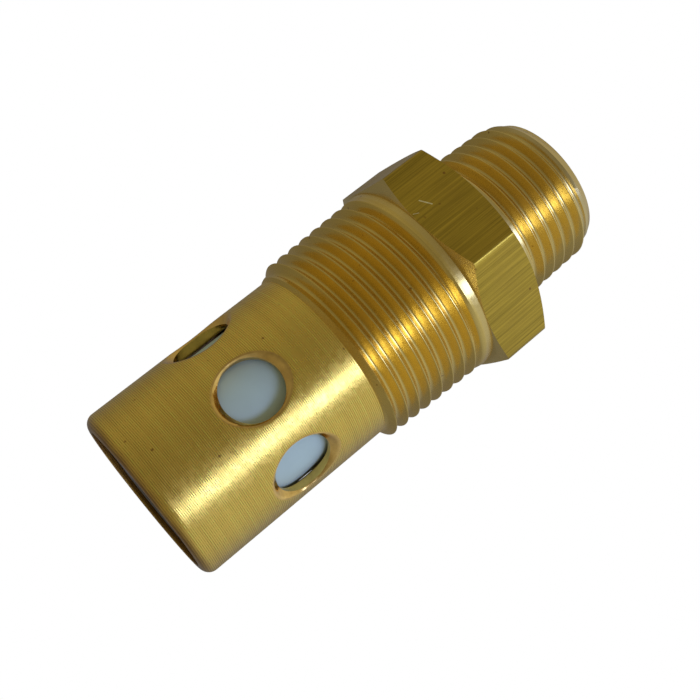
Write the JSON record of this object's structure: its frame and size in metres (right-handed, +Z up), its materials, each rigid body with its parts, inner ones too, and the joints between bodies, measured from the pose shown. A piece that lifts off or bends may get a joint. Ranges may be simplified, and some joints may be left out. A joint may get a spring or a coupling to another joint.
{
  "type": "automatic air vent",
  "caption": "Brass automatic air vent: perforated float cage, taper inlet and outlet threads, spanner hexagon, and a captive float that rises to shut the vent port.",
  "frame": {"origin": "centre of the float cage's open bottom rim, on the plane that the rim stands on", "axes": "+Z up the vent's axis from the cage to the outlet, as it is fitted; -Y through the middle of one cage hole"},
  "size_m": [0.0306, 0.0292, 0.0654],
  "materials": {
    "body_brass": "fine turned",
    "seat_brass": "fine turned",
    "gasket_fibre": "matt fibre",
    "spring_steel": "ground",
    "float_plastic": "satin moulded",
    "seal_rubber": "matt moulded"
  },
  "bodies": {
    "body": {"valve_body": "body_brass", "valve_seat": "seat_brass", "seat_gasket": "gasket_fibre", "snap_ring": "spring_steel"},
    "float": {"float_shell": "float_plastic", "float_cap": "float_plastic", "seal_disc": "seal_rubber", "seal_washer": "spring_steel", "seal_screw": "spring_steel"}
  },
  "joints": [
    {"name": "float_rise", "type": "slide", "parent": "body", "child": "float", "axis": [0, 0, 1], "range_m": [0, 0.0066]}
  ]
}
